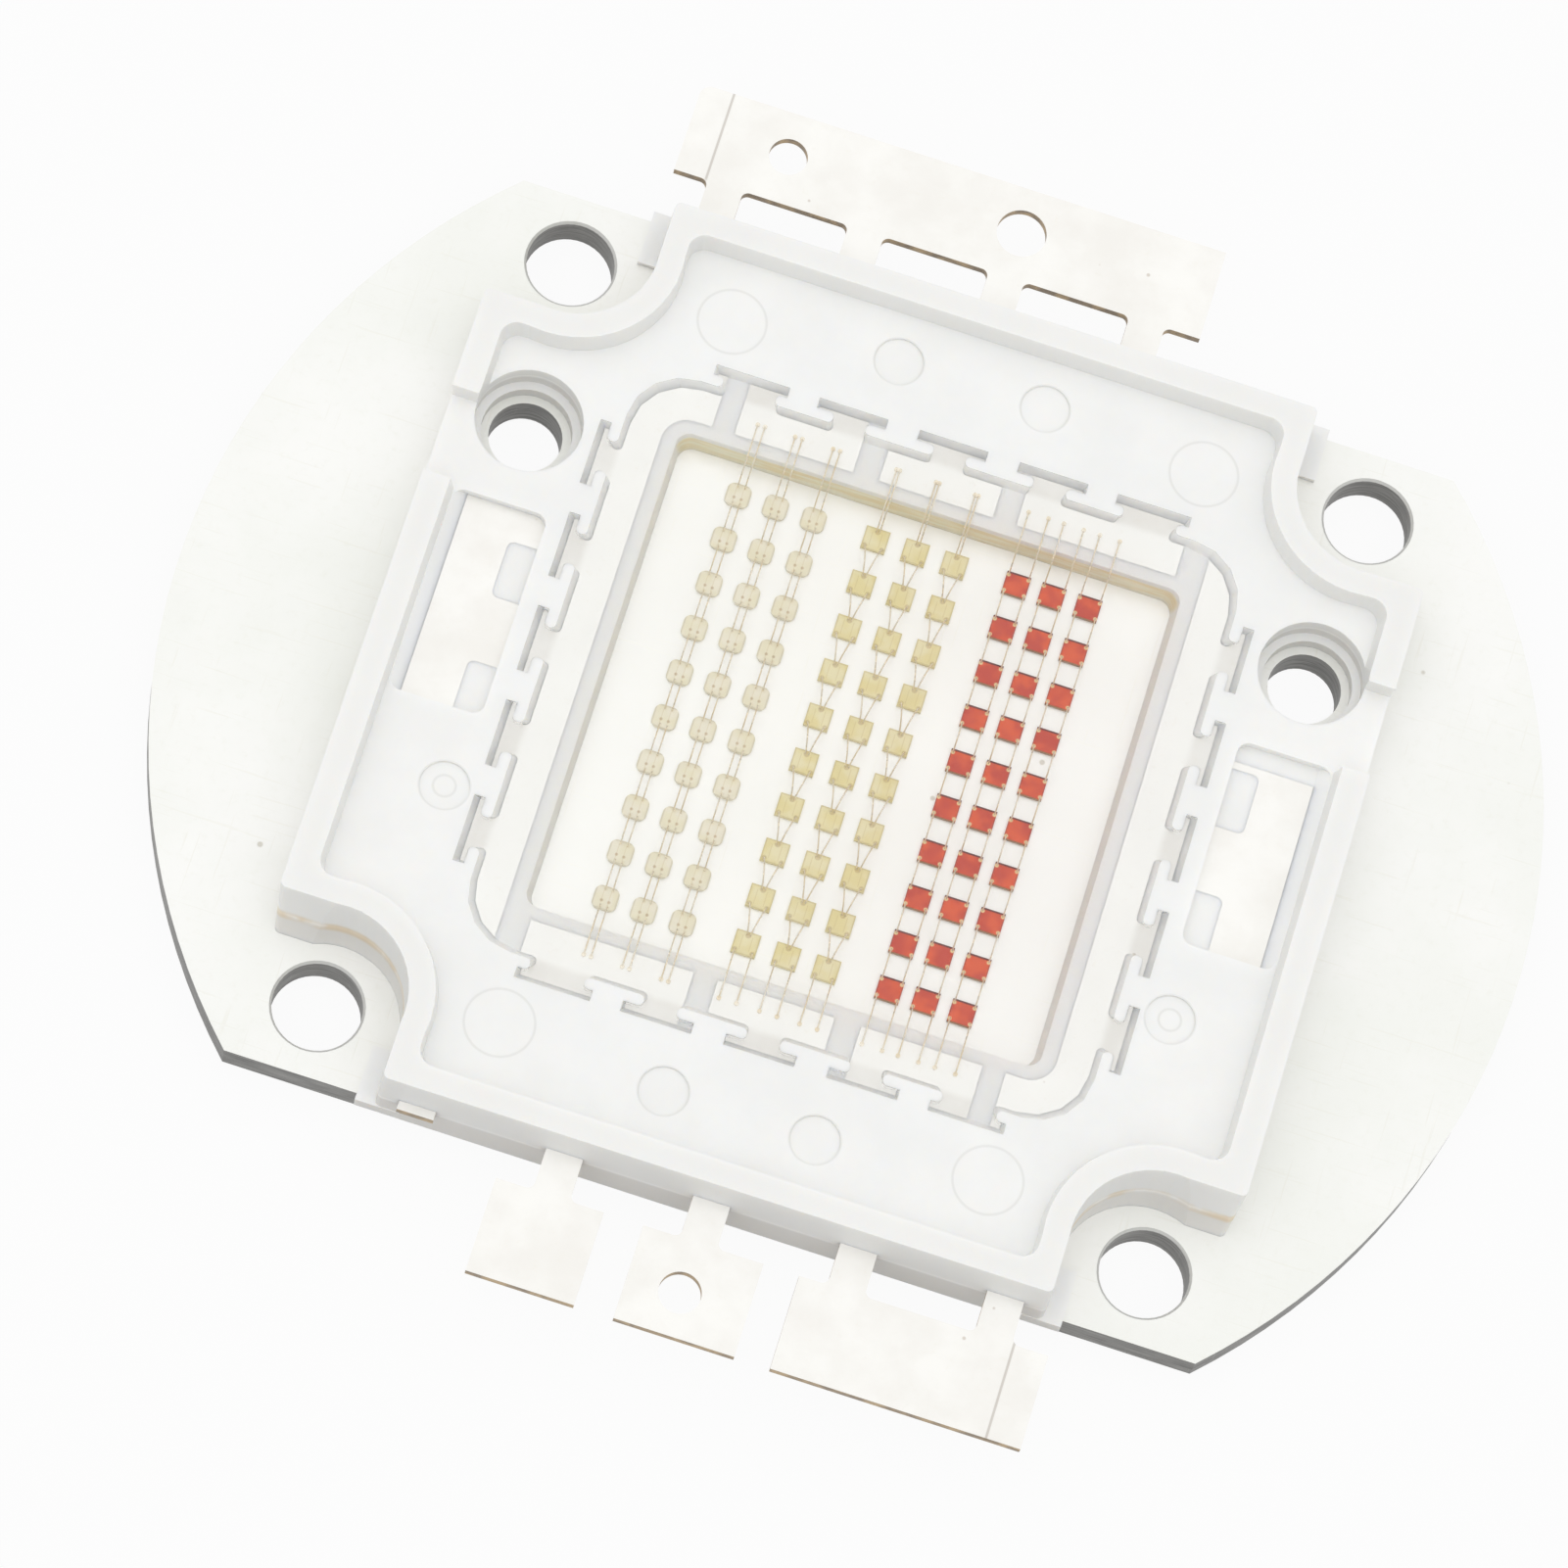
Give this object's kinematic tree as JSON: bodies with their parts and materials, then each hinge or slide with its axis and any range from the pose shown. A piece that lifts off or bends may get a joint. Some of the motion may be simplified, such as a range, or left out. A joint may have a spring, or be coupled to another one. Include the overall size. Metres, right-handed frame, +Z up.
{
  "type": "chip-on-board led",
  "caption": "Flat high power light module: chips in a toothed white frame under clear gel, on a round metal plate with cut sides, screw holes and flat solder terminals.",
  "frame": {"origin": "centre of the base plate's underside", "axes": "+X along the plate's long side, +Y towards the joined terminal strip, +Z up out of the light field"},
  "size_m": [0.056, 0.0514, 0.0044],
  "materials": {
    "plated_plate": "satin",
    "plated_lead": "satin",
    "white_plastic": "matte",
    "clear_gel": "gloss",
    "blue_chip": "gloss",
    "green_chip": "gloss",
    "red_chip": "gloss",
    "bond_wire": "gloss"
  },
  "bodies": {
    "root": {"base_plate": "plated_plate", "housing": "white_plastic", "common_lead": "plated_lead", "output_lead_left": "plated_lead", "output_lead_middle": "plated_lead", "output_lead_right": "plated_lead", "encapsulant": "clear_gel", "blue_chips_1": "blue_chip", "blue_chips_2": "blue_chip", "blue_chips_3": "blue_chip", "green_chips_1": "green_chip", "green_chips_2": "green_chip", "green_chips_3": "green_chip", "red_chips_1": "red_chip", "red_chips_2": "red_chip", "red_chips_3": "red_chip", "blue_wires_1": "bond_wire", "blue_wires_2": "bond_wire", "blue_wires_3": "bond_wire", "green_wires_1": "bond_wire", "green_wires_2": "bond_wire", "green_wires_3": "bond_wire", "red_wires_1": "bond_wire", "red_wires_2": "bond_wire", "red_wires_3": "bond_wire"}
  },
  "joints": []
}
